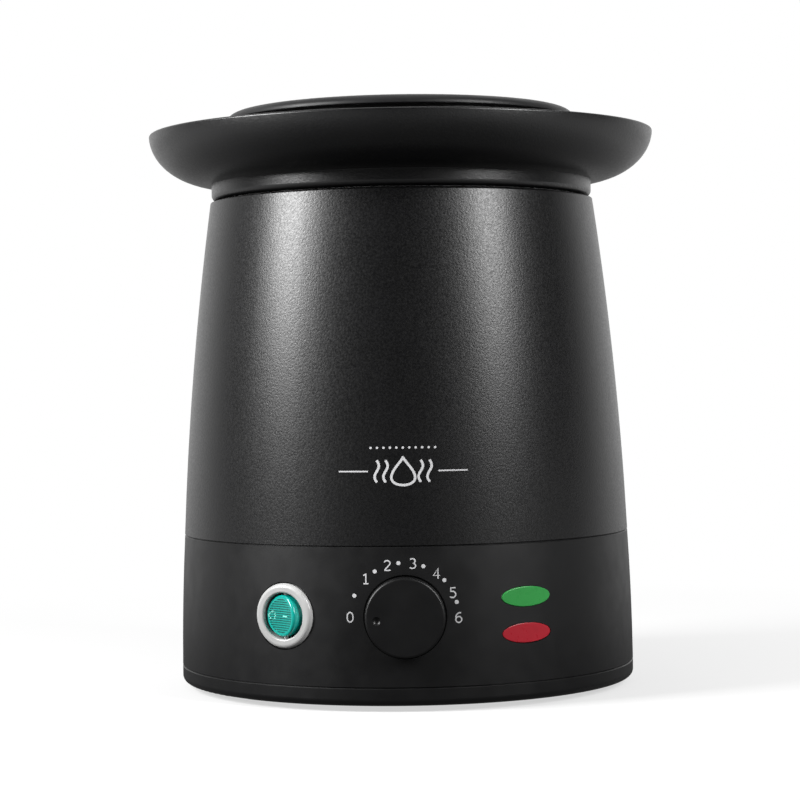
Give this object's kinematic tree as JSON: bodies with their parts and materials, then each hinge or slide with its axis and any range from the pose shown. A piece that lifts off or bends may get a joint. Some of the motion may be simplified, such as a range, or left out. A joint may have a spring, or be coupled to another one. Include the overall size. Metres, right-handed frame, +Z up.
{
  "type": "wax warmer pot",
  "caption": "Countertop electric wax warmer: tapered round body, saucer-brimmed drip collar, lift-out pot with bail handle and lid, front knob, rocker switch and signal lamps.",
  "frame": {"origin": "on the resting surface, under the centre of the body", "axes": "+Z up, the control panel faces -Y, +X to the right of somebody facing the panel"},
  "size_m": [0.1874, 0.1874, 0.2174],
  "materials": {
    "textured_black": "fine-grained satin, black",
    "satin_black": "smooth satin, black",
    "lid_black": "matte charcoal",
    "white_plastic": "glossy white",
    "teal_plastic": "translucent, ribbed",
    "green_lens": "translucent green",
    "red_lens": "translucent red",
    "aluminium": "spun and drawn aluminium",
    "steel": "zinc-plated steel",
    "stainless_wire": "polished stainless wire",
    "brass": "plated brass",
    "copper": "drawn copper",
    "rubber": "matte",
    "silicone": "charcoal silicone",
    "black_nylon": "moulded nylon",
    "phenolic": "heat-proof moulding",
    "wool": "needled glass wool",
    "ceramic": "unglazed steatite",
    "glass": "clear glass envelope",
    "brown_wire": "insulation",
    "blue_wire": "insulation",
    "earth_wire": "insulation"
  },
  "bodies": {
    "root": {"base_plate": "satin_black", "rubber_feet": "rubber", "base_screws": "steel", "control_ring": "satin_black", "outer_casing": "textured_black", "top_gasket": "silicone", "heating_well": "aluminium", "band_heater": "steel", "heater_terminals": "ceramic", "insulation_jacket": "wool", "heat_shield": "aluminium", "rod_spacers": "steel", "tie_rods": "steel", "tie_nuts": "steel", "thermostat_body": "black_nylon", "thermostat_nut": "brass", "thermostat_bulb": "copper", "bulb_clip": "steel", "thermal_fuse": "white_plastic", "fuse_clip": "steel", "switch_bezel": "white_plastic", "switch_body": "black_nylon", "switch_terminals": "brass", "green_lens": "green_lens", "red_lens": "red_lens", "lamp_bracket": "black_nylon", "neon_lamps": "glass", "lamp_screws": "steel", "inlet_housing": "black_nylon", "inlet_pins": "brass", "inlet_screws": "steel", "terminal_block": "ceramic", "terminal_screws": "brass", "earth_lug": "brass", "brown_wires": "brown_wire", "blue_wires": "blue_wire", "earth_wire": "earth_wire"},
    "knob": {"temperature_knob": "satin_black", "thermostat_shaft": "steel"},
    "rocker": {"switch_rocker": "teal_plastic", "rocker_pin": "steel"},
    "collar": {"drip_collar": "textured_black"},
    "pot": {"inner_pot": "aluminium"},
    "bail": {"bail_handle": "stainless_wire", "bail_grip": "phenolic"},
    "cover": {"lid": "lid_black", "lid_knob": "lid_black", "lid_screw": "steel"}
  },
  "joints": [
    {"name": "knob_turn", "type": "hinge", "parent": "root", "child": "knob", "pos_m": [0, -0.08365, 0.0325], "axis": [0, 1, 0], "range_deg": [0, 180]},
    {"name": "rocker_tilt", "type": "hinge", "parent": "root", "child": "rocker", "pos_m": [-0.04102, -0.07106, 0.0323], "axis": [0, 0, 1], "range_deg": [0, 32]},
    {"name": "collar_lift", "type": "slide", "parent": "root", "child": "collar", "axis": [0, 0, 1], "range_m": [0, 0.03]},
    {"name": "pot_lift", "type": "slide", "parent": "collar", "child": "pot", "axis": [0, 0, 1], "range_m": [0, 0.1]},
    {"name": "lid_lift", "type": "slide", "parent": "pot", "child": "cover", "axis": [0, 0, 1], "range_m": [0, 0.06]},
    {"name": "bail_swing", "type": "hinge", "parent": "pot", "child": "bail", "pos_m": [0, 0, 0.2035], "axis": [-1, 0, 0], "range_deg": [0, 197.2]}
  ]
}
